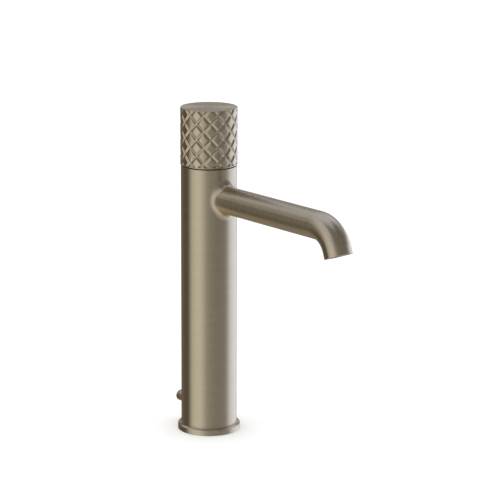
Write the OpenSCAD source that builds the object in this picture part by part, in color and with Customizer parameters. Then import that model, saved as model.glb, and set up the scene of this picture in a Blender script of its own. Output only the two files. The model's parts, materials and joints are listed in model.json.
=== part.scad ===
// Tall single-hole basin mixer: a slim column on a thin foot, a fixed bent spout, a turning handle with a
// progressive cartridge below it, and a small knob at the back that lifts the basin's waste plug.
// Millimetres. The origin is the centre of the foot's underside, +Z is up and the spout points along -Y.

/* [Column] */
// Outside diameter of the column
column_d = 40; // [38:0.5:52]
// Height of the column's top edge above the deck
column_top = 194.2; // [150:0.2:260]
// Wall of the column below the valve body
column_wall = 3; // [2.5:0.25:3.5]
// Step between the lower bore and the wider bore of the valve body
bore_step = 1; // [0.5:0.25:1.25]

/* [Foot] */
// How far the foot stands out past the column all round
foot_rim = 2.5; // [2:0.25:8]
// Thickness of the foot's visible flange
foot_h = 4; // [3:0.5:8]
// Height of the spigot that screws up into the column
spigot_h = 8; // [7:0.5:8]
// Distance of the M8 fixing stud in front of the axis
stud_y = 11.5; // [11:0.25:12]
// Radius of the hole tapped M8 for the fixing stud
stud_r = 3.4; // [3:0.1:3.6]
// Radius of each hole that a supply hose passes through
hose_hole_r = 6.5; // [5:0.25:6.75]

/* [Spout] */
// Outside diameter of the spout tube
spout_d = 19.6; // [14:0.2:24]
// Wall of the spout tube
spout_wall = 1.8; // [1.6:0.1:2.5]
// Distance of the spout's axis below the column's top edge
spout_drop = 22; // [19:0.5:60]
// Length of the level stretch, from the column's axis to the bend
spout_level = 120; // [60:1:200]
// Centreline radius of the bend
bend_r = 20.5; // [19:0.5:40]
// Angle that the bend turns the spout down by
bend_deg = 69; // [45:1:85]
// Straight stretch after the bend, up to the mouth
spout_tip = 5; // [5:0.5:20]
// Radius of the blended root between the spout and the column
root_r = 4.5; // [1:0.25:6]

/* [Handle] */
// How far the handle stands out past the column all round
handle_proud = 0.3; // [0:0.1:2]
// Height of the handle
handle_h = 41; // [39:0.2:60]
// Shadow gap between the column and the handle
handle_gap = 0.8; // [0.4:0.1:1.5]
// Wall of the handle's cup
handle_wall = 2.8; // [2:0.1:2.8]
// Thickness of the handle's top
handle_lid = 5; // [3:0.5:5]
// How far the handle turns from shut to full hot
handle_turn = 110; // [60:5:150]

/* [Cartridge] */
// Diameter of the ceramic cartridge
cartridge_d = 25; // [20:0.25:25.5]
// Distance between the cartridge's outer wall and the centre of each port
port_inset = 5.7; // [5.5:0.1:6]
// Radius of the water ports
port_r = 2.4; // [1.5:0.1:2.5]
// Half the distance between the two supply inlets
inlet_x = 8.75; // [8.5:0.25:9]
// Radius of each inlet, tapped M10 x 1
inlet_r = 4.5; // [4:0.1:4.5]
// Depth of the inlet thread
inlet_depth = 13; // [8:0.5:14]
// Radius of the passage to the spout
outlet_r = 4; // [3:0.25:4]

/* [Waste lift] */
// Diameter of the lift knob
knob_d = 8; // [6:0.5:12]
// Length of the lift knob
knob_len = 12.4; // [8:0.2:20]
// Clear space between the column and the knob
knob_gap = 2; // [1:0.25:6]
// Height of the knob's axis when it is down
knob_z = 16; // [15:0.5:30]
// Radius of the neck that carries the knob
neck_pin_r = 2; // [1.5:0.05:2.25]
// How far the knob lifts
lift_travel = 28; // [10:1:40]

/* [Fits] */
// Radial clearance of pieces that slide or screw into each other
fit = 0.05; // [0.02:0.01:0.08]
// Clearance of the neck in its slot, each side
slot_fit = 0.5; // [0.3:0.1:0.7]

/* [Hidden] */

$fn = 96;
// Overshoot of every cut past the face that it opens
eps = 0.5;

nickel = [0.66, 0.61, 0.52];
brass = [0.78, 0.62, 0.33];
rubber = [0.12, 0.12, 0.12];
polymer = [0.86, 0.86, 0.82];
ceramic = [0.93, 0.92, 0.88];
steel = [0.72, 0.72, 0.72];

column_r = column_d / 2;
bore_r = column_r - column_wall;
seat_r = bore_r + bore_step;
spout_r = spout_d / 2;
spout_z = column_top - spout_drop;
spout_bore_r = spout_r - spout_wall;
edge = 0.3;
turned_step = 0.02;
seam = 0.05;

// Foot
foot_r = column_r + foot_rim;
spigot_r = bore_r - fit;
spigot_top = foot_h + spigot_h;
ring_r = 0.5;
foot_ring_z = foot_h + spigot_h / 2;
gasket_h = 1.5;
gasket_w = 3;
gasket_out_r = foot_r - 1.2;

// Valve body, held between the column's shoulder and the lock ring
lock_recess = 0.6;
lock_h = 3.6;
lower_land = 14.4;
body_top = column_top - lock_recess - lock_h;
body_bottom = spout_z - spout_r - lower_land;
body_r = seat_r - fit;
body_ring_r = 1;
body_ring_z = [(body_bottom + spout_z - spout_r) / 2, (body_top + spout_z + spout_r) / 2];
groove_depth = 2.5;
groove_r = body_r - groove_depth;

// Cartridge, from the floor of its pocket upwards
cartridge_r = cartridge_d / 2;
pocket_r = cartridge_r + fit;
pocket_depth = 26;
collar_wall = 1.85;
collar_r = pocket_r + collar_wall;
collar_h = 14;
collar_top = body_top + collar_h;
pocket_floor = collar_top - pocket_depth;
port_x = cartridge_r - port_inset;
seal_squeeze = 0.3;
seal_h = 1.3;
seal_wall = 0.9;
base_z = pocket_floor + seal_squeeze;
base_h = 5.7;
shell_wall = 1.6;
cavity_r = cartridge_r - shell_wall;
disc_h = 3.5;
film = 0.05;
fixed_disc_z = base_z + base_h;
moving_disc_z = fixed_disc_z + disc_h + film;
carrier_z = moving_disc_z + disc_h;
carrier_h = 4;
carrier_r = cavity_r - 0.4;
key_h = 1.2;
key_w = 4;
dog_h = 2;
dog_w = 3.2;
spindle_z = carrier_z + carrier_h;
spindle_flange_h = 2.5;
spindle_flange_r = cavity_r - 4;
spindle_r = 4.5;
spline_r = 4;
washer_h = 2.3;
washer_z = spindle_z + spindle_flange_h + film;
ceiling_z = washer_z + washer_h;
shoulder_z = collar_top + 0.5;
top_neck_r = cartridge_r - 2;
top_neck_h = 5;
top_neck_top = shoulder_z + top_neck_h;
stem_ring_r = 0.8;
stem_ring_z = shoulder_z + 1;

// Cartridge nut and stop ring
nut_wall = 2.1;
nut_r = collar_r + nut_wall;
nut_skirt = 6;
nut_web = 2.5;
nut_top = shoulder_z + nut_web;
stop_r = top_neck_r + 3.5;
stop_floor_h = 2.5;
stop_wall_h = 3.5;
stop_wall = 2.5;
stop_floor = nut_top + stop_floor_h;
stop_top = stop_floor + stop_wall_h;
lug_deg = 20;
lug_gap_deg = 1;
lug_start = 35;

// Handle and its insert
handle_r = column_r + handle_proud;
handle_z = column_top + handle_gap;
handle_in_r = handle_r - handle_wall;
handle_top_z = handle_z + handle_h;
handle_ceiling = handle_top_z - handle_lid;
insert_z = stop_top + 1;
insert_plate_h = 3;
insert_plate_r = stop_r + 1;
insert_hub_r = 9.5;
insert_top = handle_ceiling - 0.3;
insert_flange_h = 7.5;
insert_flange_r = handle_in_r - 2 * fit;
spline_top = insert_z + 8;
insert_web_z = spline_top + 0.5;
insert_web_h = 2;
insert_pocket_r = 6;
screw_r = 1.95;
screw_head_r = 3.5;
screw_head_h = 2.4;
screw_grip = 9;
grub_r = 2;
grub_len = 7.5;
grub_recess = 0.5;
grub_z = insert_top - insert_flange_h / 2;

// Aerator, measured from the mouth inwards
aerator_r = spout_bore_r + 0.2;
aerator_recess = 0.5;
aerator_h = 3.8;
aerator_wall = 1.25;
aerator_lip = 0.7;
aerator_seal_h = 0.7;
aerator_depth = aerator_recess + aerator_h + aerator_seal_h;
aerator_shell_r = aerator_r - fit;
aerator_in_r = aerator_shell_r - aerator_wall;
insert_recess = 1;
jet_plate_h = 1.8;
jet_r = 0.75;
jet_pitch = 2.1;
screen_z = 3;
screen_h = 0.6;

// Waste lift
guide_r = 4;
guide_gap = 1.5;
slider_r = 3;
guide_y = bore_r - guide_r - guide_gap;
guide_floor = 5;
rod_hole_r = 2.5;
rod_thread_r = 1.65;
rod_thread_depth = 6;
slider_top = knob_z + 6;
guide_top = slider_top + lift_travel + 3;
pin_thread_r = 1.5;
knob_y = column_r + knob_gap;
pin_seat = 4;
slot_w = 2 * (neck_pin_r + slot_fit);
slot_bottom = knob_z - neck_pin_r - slot_fit;
slot_top = knob_z + lift_travel + neck_pin_r + slot_fit;

// A ring of rectangular section about Z
module band(r_in, r_out, z, h) {
    translate([0, 0, z])
        difference() {
            cylinder(r = r_out, h = h);
            translate([0, 0, -eps]) cylinder(r = r_in, h = h + 2 * eps);
        }
}

// A rubber ring of round section about Z
module o_ring(r, section_r, z) {
    translate([0, 0, z])
        rotate_extrude() translate([r, 0]) circle(r = section_r, $fn = 32);
}

// A disc about Z with its top outer edge chamfered
module turned_disc(r, z, h) {
    rotate_extrude()
        polygon([[0, z], [r, z], [r, z + h - edge], [r - edge, z + h], [0, z + h]]);
}

// A sector of a ring, from angle a0 and deg wide
module sector(r_in, r_out, z, h, a0, deg) {
    translate([0, 0, z])
        rotate([0, 0, a0])
            rotate_extrude(angle = deg)
                polygon([[r_in, 0], [r_out, 0], [r_out, h], [r_in, h]]);
}

// Two supply ports at the sides and one mixed-water port in front
module ports(r, z, h) {
    for (place = [[port_x, 0], [-port_x, 0], [0, -port_x]])
        translate([place[0], place[1], z]) cylinder(r = r, h = h, $fn = 48);
}

// A rod along the spout's whole path, from the column's axis to over past the mouth. The tip is turned
// a hair wider than the bent stretch, and reaches back into it by seam.
module spout_rod(r, over) {
    translate([0, 0, spout_z])
        rotate([90, 0, 0]) cylinder(r = r, h = spout_level);
    translate([0, -spout_level, spout_z - bend_r])
        rotate([0, -90, 180])
            rotate_extrude(angle = bend_deg) translate([bend_r, 0]) circle(r = r);
    from_mouth() translate([0, 0, -over]) cylinder(r = r + turned_step, h = spout_tip + seam + over);
}

// Moves a piece from the origin to the mouth, with +Z pointing back into the spout
module from_mouth() {
    translate([0, -spout_level, spout_z - bend_r])
        rotate([bend_deg, 0, 0])
            translate([0, -spout_tip, bend_r])
                rotate([-90, 0, 0])
                    children();
}

// Points of the saddle's section at angle a round the spout: the two ends of the rolling ball's arc
// lie on the column and on the spout, and the corner is where those two surfaces cross.
saddle_steps = 64;
arc_steps = 8;
skin = 0.02;
function ball_x(a) = sqrt(pow(column_r + root_r, 2) - pow((spout_r + root_r) * cos(a), 2));
function ball_centre(a) = [ball_x(a), (spout_r + root_r) * cos(a), (spout_r + root_r) * sin(a)];
function on_column(a) =
    let (c = ball_centre(a), k = column_r / (column_r + root_r)) [c[0] * k, c[1] * k, c[2]];
function on_spout(a) = [ball_x(a), spout_r * cos(a), spout_r * sin(a)];
function arc_point(a, t) =
    let (
        c = ball_centre(a),
        u = (on_column(a) - c) / root_r,
        w = (on_spout(a) - c) / root_r,
        full = acos(u * w)
    )
    c + root_r * (sin((1 - t) * full) * u + sin(t * full) * w) / sin(full);
function corner(a) =
    let (r = spout_r + skin) [sqrt(pow(column_r, 2) - pow(r * cos(a), 2)), r * cos(a), r * sin(a)];
function saddle_ring(a) = concat(
    [for (i = [0:arc_steps]) arc_point(a, i / arc_steps)],
    [corner(a)]
);

module foot() {
    color(nickel)
        difference() {
            union() {
                turned_disc(foot_r, 0, foot_h);
                turned_disc(spigot_r, foot_h - 1, spigot_h + 1);
            }
            band(gasket_out_r - gasket_w, gasket_out_r, -eps, gasket_h + eps);
            band(spigot_r - 2 * ring_r + fit, spigot_r + eps, foot_ring_z - ring_r, 2 * ring_r);
            for (side = [-1, 1])
                translate([side * inlet_x, 0, -eps])
                    cylinder(r = hose_hole_r, h = spigot_top + 2 * eps);
            translate([0, -stud_y, -eps]) cylinder(r = stud_r, h = spigot_top + 2 * eps);
            translate([0, guide_y, -eps]) cylinder(r = rod_hole_r, h = guide_floor + 2 * eps);
            translate([0, guide_y, guide_floor]) cylinder(r = guide_r + fit, h = spigot_top);
        }
}

module deck_gasket() {
    color(rubber)
        band(gasket_out_r - gasket_w + fit, gasket_out_r - fit, 0, gasket_h);
}

module foot_o_ring() {
    color(rubber)
        o_ring(spigot_r - ring_r + fit, ring_r - fit / 2, foot_ring_z);
}

module column() {
    color(nickel)
        difference() {
            rotate_extrude()
                polygon([
                    [bore_r, foot_h], [column_r, foot_h], [column_r, column_top - edge],
                    [column_r - edge, column_top], [seat_r, column_top], [seat_r, body_bottom],
                    [bore_r, body_bottom]
                ]);
            translate([0, 0, spout_z])
                rotate([90, 0, 0]) cylinder(r = spout_r + fit, h = column_r + eps);
            round_slot(slot_w, slot_bottom, slot_top);
        }
}

// An upright slot with round ends through the column's back wall
module round_slot(width, z0, z1) {
    for (z = [z0 + width / 2, z1 - width / 2])
        translate([0, 0, z])
            rotate([-90, 0, 0]) cylinder(r = width / 2, h = column_r + eps, $fn = 48);
    translate([-width / 2, 0, z0 + width / 2]) cube([width, column_r + eps, z1 - z0 - width]);
}

module spout_tube() {
    color(nickel)
        difference() {
            spout_rod(spout_r, 0);
            spout_rod(spout_bore_r, eps);
            from_mouth() translate([0, 0, -eps]) cylinder(r = aerator_r, h = aerator_depth + eps);
            translate([0, 0, spout_z - spout_d]) cylinder(r = seat_r, h = 2 * spout_d);
        }
}

module spout_saddle() {
    rings = [for (i = [0:saddle_steps - 1]) saddle_ring(360 * i / saddle_steps)];
    across = arc_steps + 2;
    color(nickel)
        translate([0, 0, spout_z])
            rotate([0, 0, -90])
                polyhedron(
                    points = [for (ring = rings) for (p = ring) p],
                    faces = [
                        for (i = [0:saddle_steps - 1]) for (j = [0:across - 1])
                            let (i2 = (i + 1) % saddle_steps, j2 = (j + 1) % across)
                            for (half = [0, 1])
                                half == 0
                                    ? [i * across + j, i2 * across + j, i2 * across + j2]
                                    : [i * across + j, i2 * across + j2, i * across + j2]
                    ]
                );
}

module aerator_housing() {
    color(nickel)
        from_mouth()
            difference() {
                union() {
                    band(aerator_in_r, aerator_shell_r, aerator_recess, aerator_h);
                    band(aerator_in_r - aerator_lip, aerator_in_r + aerator_wall / 2,
                         aerator_recess + aerator_h - aerator_lip, aerator_lip);
                }
                for (a = [0:90:270])
                    rotate([0, 0, a])
                        translate([aerator_in_r - 0.4, -0.9, aerator_recess - eps])
                            cube([aerator_wall + 1, 1.8, 1.2 + eps]);
            }
}

module aerator_insert() {
    color(polymer)
        from_mouth()
            translate([0, 0, insert_recess])
                difference() {
                    cylinder(r = aerator_in_r - fit, h = jet_plate_h);
                    for (row = [-3:3])
                        for (col = [-3:3])
                            let (x = jet_pitch * (col + (row % 2 == 0 ? 0 : 0.5)))
                            let (y = jet_pitch * row * sin(60))
                            if (norm([x, y]) + jet_r < aerator_in_r - 0.6)
                                translate([x, y, -eps])
                                    cylinder(r = jet_r, h = jet_plate_h + 2 * eps, $fn = 24);
                }
}

module aerator_screen() {
    color(steel)
        from_mouth()
            translate([0, 0, screen_z])
                difference() {
                    cylinder(r = aerator_in_r - fit, h = screen_h);
                    for (a = [0:30:330])
                        rotate([0, 0, a])
                            translate([aerator_in_r - 2, 0, -eps])
                                cylinder(r = 0.8, h = screen_h + 2 * eps, $fn = 24);
                }
}

module aerator_seal() {
    color(rubber)
        from_mouth()
            band(aerator_in_r - aerator_lip, aerator_shell_r, aerator_recess + aerator_h, aerator_seal_h);
}

module valve_body() {
    color(brass)
        difference() {
            union() {
                translate([0, 0, body_bottom]) cylinder(r = body_r, h = body_top - body_bottom);
                translate([0, 0, body_top - 1]) cylinder(r = collar_r, h = collar_h + 1);
            }
            translate([0, 0, pocket_floor]) cylinder(r = pocket_r, h = pocket_depth + eps);
            band(groove_r, body_r + eps, spout_z - spout_bore_r, 2 * spout_bore_r);
            for (z = body_ring_z)
                band(body_r - 2 * body_ring_r + fit, body_r + eps, z - body_ring_r, 2 * body_ring_r);
            for (side = [-1, 1]) {
                translate([side * inlet_x, 0, body_bottom - eps])
                    cylinder(r = inlet_r, h = inlet_depth + eps);
                translate([side * port_x, 0, body_bottom + inlet_depth - 1])
                    cylinder(r = port_r, h = pocket_floor - body_bottom - inlet_depth + 1 + eps);
            }
            translate([0, -port_x, spout_z])
                cylinder(r = port_r, h = pocket_floor - spout_z + eps);
            translate([0, -port_x + port_r, spout_z])
                rotate([90, 0, 0]) cylinder(r = outlet_r, h = body_r);
        }
}

module body_o_rings() {
    color(rubber)
        for (z = body_ring_z)
            o_ring(body_r - body_ring_r + fit, body_ring_r - fit / 2, z);
}

module lock_ring() {
    color(brass)
        difference() {
            band(collar_r + fit, seat_r - fit, body_top, lock_h);
            for (a = [45:90:315])
                rotate([0, 0, a])
                    translate([(collar_r + seat_r) / 2, 0, body_top + 1])
                        cylinder(r = 0.9, h = lock_h, $fn = 32);
        }
}

module cartridge_base() {
    color(polymer)
        difference() {
            translate([0, 0, base_z]) cylinder(r = cartridge_r, h = base_h);
            ports(port_r, base_z - eps, base_h + 2 * eps);
            ports(port_r + seal_wall, base_z - eps, seal_h - seal_squeeze + eps);
        }
}

module port_seals() {
    color(rubber)
        difference() {
            ports(port_r + seal_wall - fit, pocket_floor, seal_h);
            ports(port_r, pocket_floor - eps, seal_h + 2 * eps);
        }
}

module fixed_disc() {
    color(ceramic)
        difference() {
            translate([0, 0, fixed_disc_z]) cylinder(r = cavity_r - fit, h = disc_h);
            ports(port_r, fixed_disc_z - eps, disc_h + 2 * eps);
        }
}

module cartridge_housing() {
    color(polymer)
        difference() {
            union() {
                translate([0, 0, fixed_disc_z]) cylinder(r = cartridge_r, h = shoulder_z - fixed_disc_z);
                translate([0, 0, shoulder_z - 1]) cylinder(r = top_neck_r, h = top_neck_h + 1);
            }
            translate([0, 0, fixed_disc_z - eps])
                cylinder(r = cavity_r, h = ceiling_z - fixed_disc_z + eps);
            translate([0, 0, ceiling_z - eps])
                cylinder(r = spindle_r + fit, h = top_neck_top - ceiling_z + 2 * eps);
        }
}

module thrust_washer() {
    color(steel)
        band(spindle_r + fit, spindle_flange_r, washer_z, washer_h);
}

module cartridge_nut() {
    color(brass)
        difference() {
            translate([0, 0, collar_top - nut_skirt])
                cylinder(r = nut_r, h = nut_top - collar_top + nut_skirt);
            translate([0, 0, collar_top - nut_skirt - eps])
                cylinder(r = collar_r + fit, h = shoulder_z - collar_top + nut_skirt + eps);
            translate([0, 0, shoulder_z - eps]) cylinder(r = top_neck_r + fit, h = nut_web + 2 * eps);
            for (a = [0:60:300])
                rotate([0, 0, a])
                    translate([nut_r, 0, collar_top - 1])
                        cylinder(r = 1.2, h = nut_top - collar_top + 1 + eps, $fn = 32);
        }
}

module stop_ring() {
    free_deg = handle_turn + lug_deg + 2 * lug_gap_deg;
    wall_in_r = stop_r - stop_wall;
    color(polymer)
        difference() {
            band(top_neck_r + fit, stop_r, nut_top, stop_top - nut_top);
            translate([0, 0, stop_floor]) cylinder(r = wall_in_r, h = stop_wall_h + eps);
            sector(wall_in_r - eps, stop_r + eps, stop_floor, stop_wall_h + eps,
                   lug_start - lug_gap_deg, free_deg);
        }
}

module moving_disc() {
    color(ceramic)
        difference() {
            translate([0, 0, moving_disc_z]) cylinder(r = carrier_r, h = disc_h);
            sector(port_x - port_r, port_x + port_r, moving_disc_z - eps, disc_h / 2 + eps, 215, 110);
            translate([-carrier_r / 2 - fit, -key_w / 2 - fit, moving_disc_z + disc_h - key_h - fit])
                cube([carrier_r + 2 * fit, key_w + 2 * fit, key_h + eps]);
        }
}

module disc_carrier() {
    color(polymer)
        difference() {
            union() {
                translate([0, 0, carrier_z]) cylinder(r = carrier_r, h = carrier_h);
                translate([-carrier_r / 2, -key_w / 2, carrier_z - key_h])
                    cube([carrier_r, key_w, key_h + 1]);
            }
            translate([-spindle_flange_r / 2 - fit, -dog_w / 2 - fit, carrier_z + carrier_h - dog_h - fit])
                cube([spindle_flange_r + 2 * fit, dog_w + 2 * fit, dog_h + eps]);
        }
}

module spindle() {
    color(brass)
        difference() {
            union() {
                translate([-spindle_flange_r / 2, -dog_w / 2, spindle_z - dog_h])
                    cube([spindle_flange_r, dog_w, dog_h + 1]);
                translate([0, 0, spindle_z]) cylinder(r = spindle_flange_r, h = spindle_flange_h);
                translate([0, 0, spindle_z]) cylinder(r = spindle_r, h = top_neck_top - spindle_z);
                translate([0, 0, spindle_z]) cylinder(r = spline_r, h = spline_top - spindle_z);
            }
            band(spindle_r - 2 * stem_ring_r, spindle_r + eps, stem_ring_z - stem_ring_r, 2 * stem_ring_r);
            translate([0, 0, spline_top - screw_grip]) cylinder(r = screw_r, h = screw_grip + eps);
        }
}

module stem_o_ring() {
    color(rubber)
        o_ring(spindle_r - stem_ring_r, stem_ring_r - fit / 2, stem_ring_z);
}

module handle_insert() {
    color(brass)
        difference() {
            union() {
                translate([0, 0, insert_z]) cylinder(r = insert_plate_r, h = insert_plate_h);
                translate([0, 0, insert_z]) cylinder(r = insert_hub_r, h = insert_top - insert_z);
                translate([0, 0, insert_top - insert_flange_h])
                    cylinder(r = insert_flange_r, h = insert_flange_h);
                sector(stop_r - stop_wall, stop_r, stop_floor + 0.7, insert_z - stop_floor,
                       lug_start, lug_deg);
            }
            translate([0, 0, insert_z - eps])
                cylinder(r = spline_r + fit, h = insert_web_z - insert_z + eps);
            translate([0, 0, insert_web_z - eps])
                cylinder(r = screw_r + fit, h = insert_web_h + 2 * eps);
            translate([0, 0, insert_web_z + insert_web_h])
                cylinder(r = insert_pocket_r, h = insert_top);
            grub_bore();
        }
}

// The radial hole for the handle's grub screw, at the back
module grub_bore() {
    translate([0, handle_r - grub_recess - grub_len, grub_z])
        rotate([-90, 0, 0]) cylinder(r = grub_r, h = grub_len + grub_recess + eps, $fn = 48);
}

module insert_screw() {
    head_z = insert_web_z + insert_web_h;
    color(steel)
        difference() {
            union() {
                translate([0, 0, head_z]) cylinder(r = screw_head_r, h = screw_head_h);
                translate([0, 0, spline_top - screw_grip + 1])
                    cylinder(r = screw_r, h = head_z - spline_top + screw_grip - 1 + eps);
            }
            translate([0, 0, head_z + 1]) cylinder(r = 1.7, h = screw_head_h, $fn = 6);
        }
}

module handle() {
    color(nickel)
        difference() {
            rotate_extrude()
                polygon([
                    [handle_in_r, handle_z], [handle_r - edge, handle_z], [handle_r, handle_z + edge],
                    [handle_r, handle_top_z - edge], [handle_r - edge, handle_top_z],
                    [0, handle_top_z], [0, handle_ceiling], [handle_in_r, handle_ceiling]
                ]);
            grub_bore();
        }
}

module handle_grub_screw() {
    color(steel)
        translate([0, handle_r - grub_recess - grub_len, grub_z])
            rotate([-90, 0, 0])
                difference() {
                    cylinder(r = grub_r, h = grub_len, $fn = 48);
                    translate([0, 0, grub_len - 2]) cylinder(r = 1.1, h = 2 + eps, $fn = 6);
                }
}

module lift_guide() {
    color(polymer)
        translate([0, guide_y, 0])
            difference() {
                band(slider_r + fit, guide_r, guide_floor, guide_top - guide_floor);
                translate([-slot_w / 2, 0, spigot_top])
                    cube([slot_w, guide_r + 1, guide_top]);
            }
}

module lift_slider() {
    color(brass)
        translate([0, guide_y, 0])
            difference() {
                turned_disc(slider_r, guide_floor, slider_top - guide_floor);
                translate([0, 0, guide_floor - eps])
                    cylinder(r = rod_thread_r, h = rod_thread_depth + eps, $fn = 48);
                translate([0, -1, knob_z])
                    rotate([-90, 0, 0]) cylinder(r = pin_thread_r, h = slider_r + 2, $fn = 48);
            }
}

module knob_neck() {
    color(nickel)
        translate([0, 0, knob_z])
            rotate([-90, 0, 0]) {
                translate([0, 0, guide_y - 1]) cylinder(r = pin_thread_r, h = slider_r + 2, $fn = 48);
                translate([0, 0, guide_y + slider_r])
                    cylinder(r = neck_pin_r, h = knob_y + pin_seat - guide_y - slider_r, $fn = 48);
            }
}

module lift_knob() {
    color(nickel)
        translate([0, knob_y, knob_z])
            rotate([-90, 0, 0])
                difference() {
                    rotate_extrude()
                        polygon([
                            [0, 0], [knob_d / 2 - edge, 0], [knob_d / 2, edge],
                            [knob_d / 2, knob_len - edge], [knob_d / 2 - edge, knob_len], [0, knob_len]
                        ]);
                    translate([0, 0, -eps]) cylinder(r = neck_pin_r, h = pin_seat + eps, $fn = 48);
                }
}

foot();
deck_gasket();
foot_o_ring();
column();
spout_tube();
spout_saddle();
aerator_housing();
aerator_insert();
aerator_screen();
aerator_seal();
valve_body();
body_o_rings();
lock_ring();
cartridge_base();
port_seals();
fixed_disc();
cartridge_housing();
thrust_washer();
cartridge_nut();
stop_ring();
moving_disc();
disc_carrier();
spindle();
stem_o_ring();
handle_insert();
insert_screw();
handle();
handle_grub_screw();
lift_guide();
lift_slider();
knob_neck();
lift_knob();
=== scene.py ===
"""Slim single-hole basin mixer in brushed nickel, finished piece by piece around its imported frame.

Metres throughout. +Z is up, the spout points along -Y and the waste's lift knob is at +Y.
"""

import json
import math

import bmesh
import bpy
import numpy as np
from mathutils import Matrix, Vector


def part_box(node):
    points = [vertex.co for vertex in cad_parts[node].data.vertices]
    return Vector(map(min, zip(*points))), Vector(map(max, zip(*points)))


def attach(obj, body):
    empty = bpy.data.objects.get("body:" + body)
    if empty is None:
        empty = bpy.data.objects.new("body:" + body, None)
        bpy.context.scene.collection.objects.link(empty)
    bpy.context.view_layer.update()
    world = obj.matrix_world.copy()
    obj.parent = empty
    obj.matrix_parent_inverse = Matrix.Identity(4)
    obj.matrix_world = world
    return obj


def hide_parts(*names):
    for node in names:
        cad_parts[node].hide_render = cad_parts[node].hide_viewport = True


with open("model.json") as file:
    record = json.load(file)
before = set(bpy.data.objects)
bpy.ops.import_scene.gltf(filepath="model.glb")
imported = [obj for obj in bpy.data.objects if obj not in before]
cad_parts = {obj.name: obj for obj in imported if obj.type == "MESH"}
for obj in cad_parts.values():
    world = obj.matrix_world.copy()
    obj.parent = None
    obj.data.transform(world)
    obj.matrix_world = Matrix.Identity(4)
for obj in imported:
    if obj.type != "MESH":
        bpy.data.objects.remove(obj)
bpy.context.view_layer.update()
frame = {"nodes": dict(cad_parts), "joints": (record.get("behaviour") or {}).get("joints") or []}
nodes = frame["nodes"]
scene = bpy.context.scene
mm = 0.001


# ---- Camera ---------------------------------------------------------------------------------------
# A long lens a little above the mixer, in front of it and to the left of the spout, so that the spout
# runs away to the right and the lift knob just shows behind the column.

camera_azimuth = math.radians(37.844)
camera_distance = 1.62
camera_height = 0.5233
camera_pitch = math.radians(13.328)
camera_yaw = math.radians(0.783)
camera_roll = math.radians(0.172)
camera_lens = 174.87

camera = bpy.data.objects.new("camera", bpy.data.cameras.new("camera"))
scene.collection.objects.link(camera)
scene.camera = camera
camera.data.lens = camera_lens
camera.data.sensor_width = 36
camera.data.clip_end = 100
camera.matrix_world = (
    Matrix.Translation((
        -camera_distance * math.sin(camera_azimuth),
        -camera_distance * math.cos(camera_azimuth),
        camera_height,
    ))
    @ Matrix.Rotation(-(camera_azimuth + camera_yaw), 4, "Z")
    @ Matrix.Rotation(math.pi / 2 - camera_pitch, 4, "X")
    @ Matrix.Rotation(camera_roll, 4, "Z")
)
scene.view_settings.view_transform = "Standard"


# ---- Floor and studio -----------------------------------------------------------------------------
# A wide, pale matt floor under even, soft light. Shiny surfaces see a studio of tall soft panels: dark
# on the left, then a warm one, a dim one in front and a bright, slightly cool one on the right.

floor_half = 20
floor_drop = 0.05 * mm
floor_colour = (0.90, 0.90, 0.89, 1)
floor_shade = (0.93, 0.93, 0.92, 1)
room_light = 1.3
dark_wall = (0.165, 0.137, 0.103)
darkest_wall = (0.11, 0.085, 0.06)
pale_ceiling = (0.62, 0.65, 0.77)
front_stops = [
    (-74, (0.68, 0.67, 0.59)),
    (-50, (0.84, 0.83, 0.75)),
    (-32, (0.78, 0.77, 0.70)),
    (-10, (0.41, 0.395, 0.35)),
    (8, (0.305, 0.295, 0.27)),
    (36, (0.25, 0.245, 0.23)),
    (66, (0.285, 0.28, 0.27)),
    (78, (0.38, 0.38, 0.38)),
    (98, (0.95, 1.00, 1.16)),
    (126, (1.14, 1.24, 1.43)),
]
below_ring = [
    (-180, (0.50, 0.46, 0.40)),
    (-150, (0.34, 0.29, 0.23)),
    (-122, (0.28, 0.235, 0.18)),
    (-104, (0.30, 0.25, 0.19)),
    (-88, (0.80, 0.74, 0.62)),
    (-50, (0.88, 0.82, 0.68)),
    (0, (0.60, 0.55, 0.46)),
    (60, (0.58, 0.54, 0.48)),
    (110, (0.75, 0.74, 0.72)),
    (180, (0.50, 0.46, 0.40)),
]
eye_ring = [
    (-180, dark_wall),
    (-135, dark_wall),
    (-118, darkest_wall),
    (-95, darkest_wall),
    *front_stops,
    (150, (1.07, 1.14, 1.36)),
    (163, (0.50, 0.49, 0.48)),
    (180, dark_wall),
]
back_ring = [
    (-180, (0.72, 0.69, 0.64)),
    (-156, (0.70, 0.67, 0.62)),
    (-135, (0.40, 0.37, 0.33)),
    (-118, (0.06, 0.045, 0.03)),
    (-95, (0.06, 0.045, 0.03)),
    *front_stops,
    (150, (0.90, 0.92, 0.98)),
    (180, (0.72, 0.69, 0.64)),
]
shade_ring = [
    (-180, (0.11, 0.09, 0.07)),
    (-140, (0.14, 0.12, 0.095)),
    (-105, (0.22, 0.20, 0.16)),
    (-81, (0.66, 0.64, 0.58)),
    (-45, (0.72, 0.70, 0.66)),
    (-14, (0.30, 0.29, 0.27)),
    (10, (0.18, 0.17, 0.15)),
    (76, (0.16, 0.15, 0.14)),
    (112, (0.26, 0.26, 0.27)),
    (145, (0.45, 0.45, 0.45)),
    (180, (0.11, 0.09, 0.07)),
]
sky_ring = [
    (-180, (0.60, 0.62, 0.70)),
    (-115, (0.56, 0.57, 0.64)),
    (-75, (0.68, 0.69, 0.76)),
    (-45, (0.62, 0.62, 0.64)),
    (-14, (0.20, 0.19, 0.17)),
    (20, (0.19, 0.18, 0.16)),
    (116, (0.15, 0.14, 0.125)),
    (136, (0.60, 0.63, 0.72)),
    (146, (0.94, 0.99, 1.17)),
    (180, (0.60, 0.62, 0.70)),
]
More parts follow.
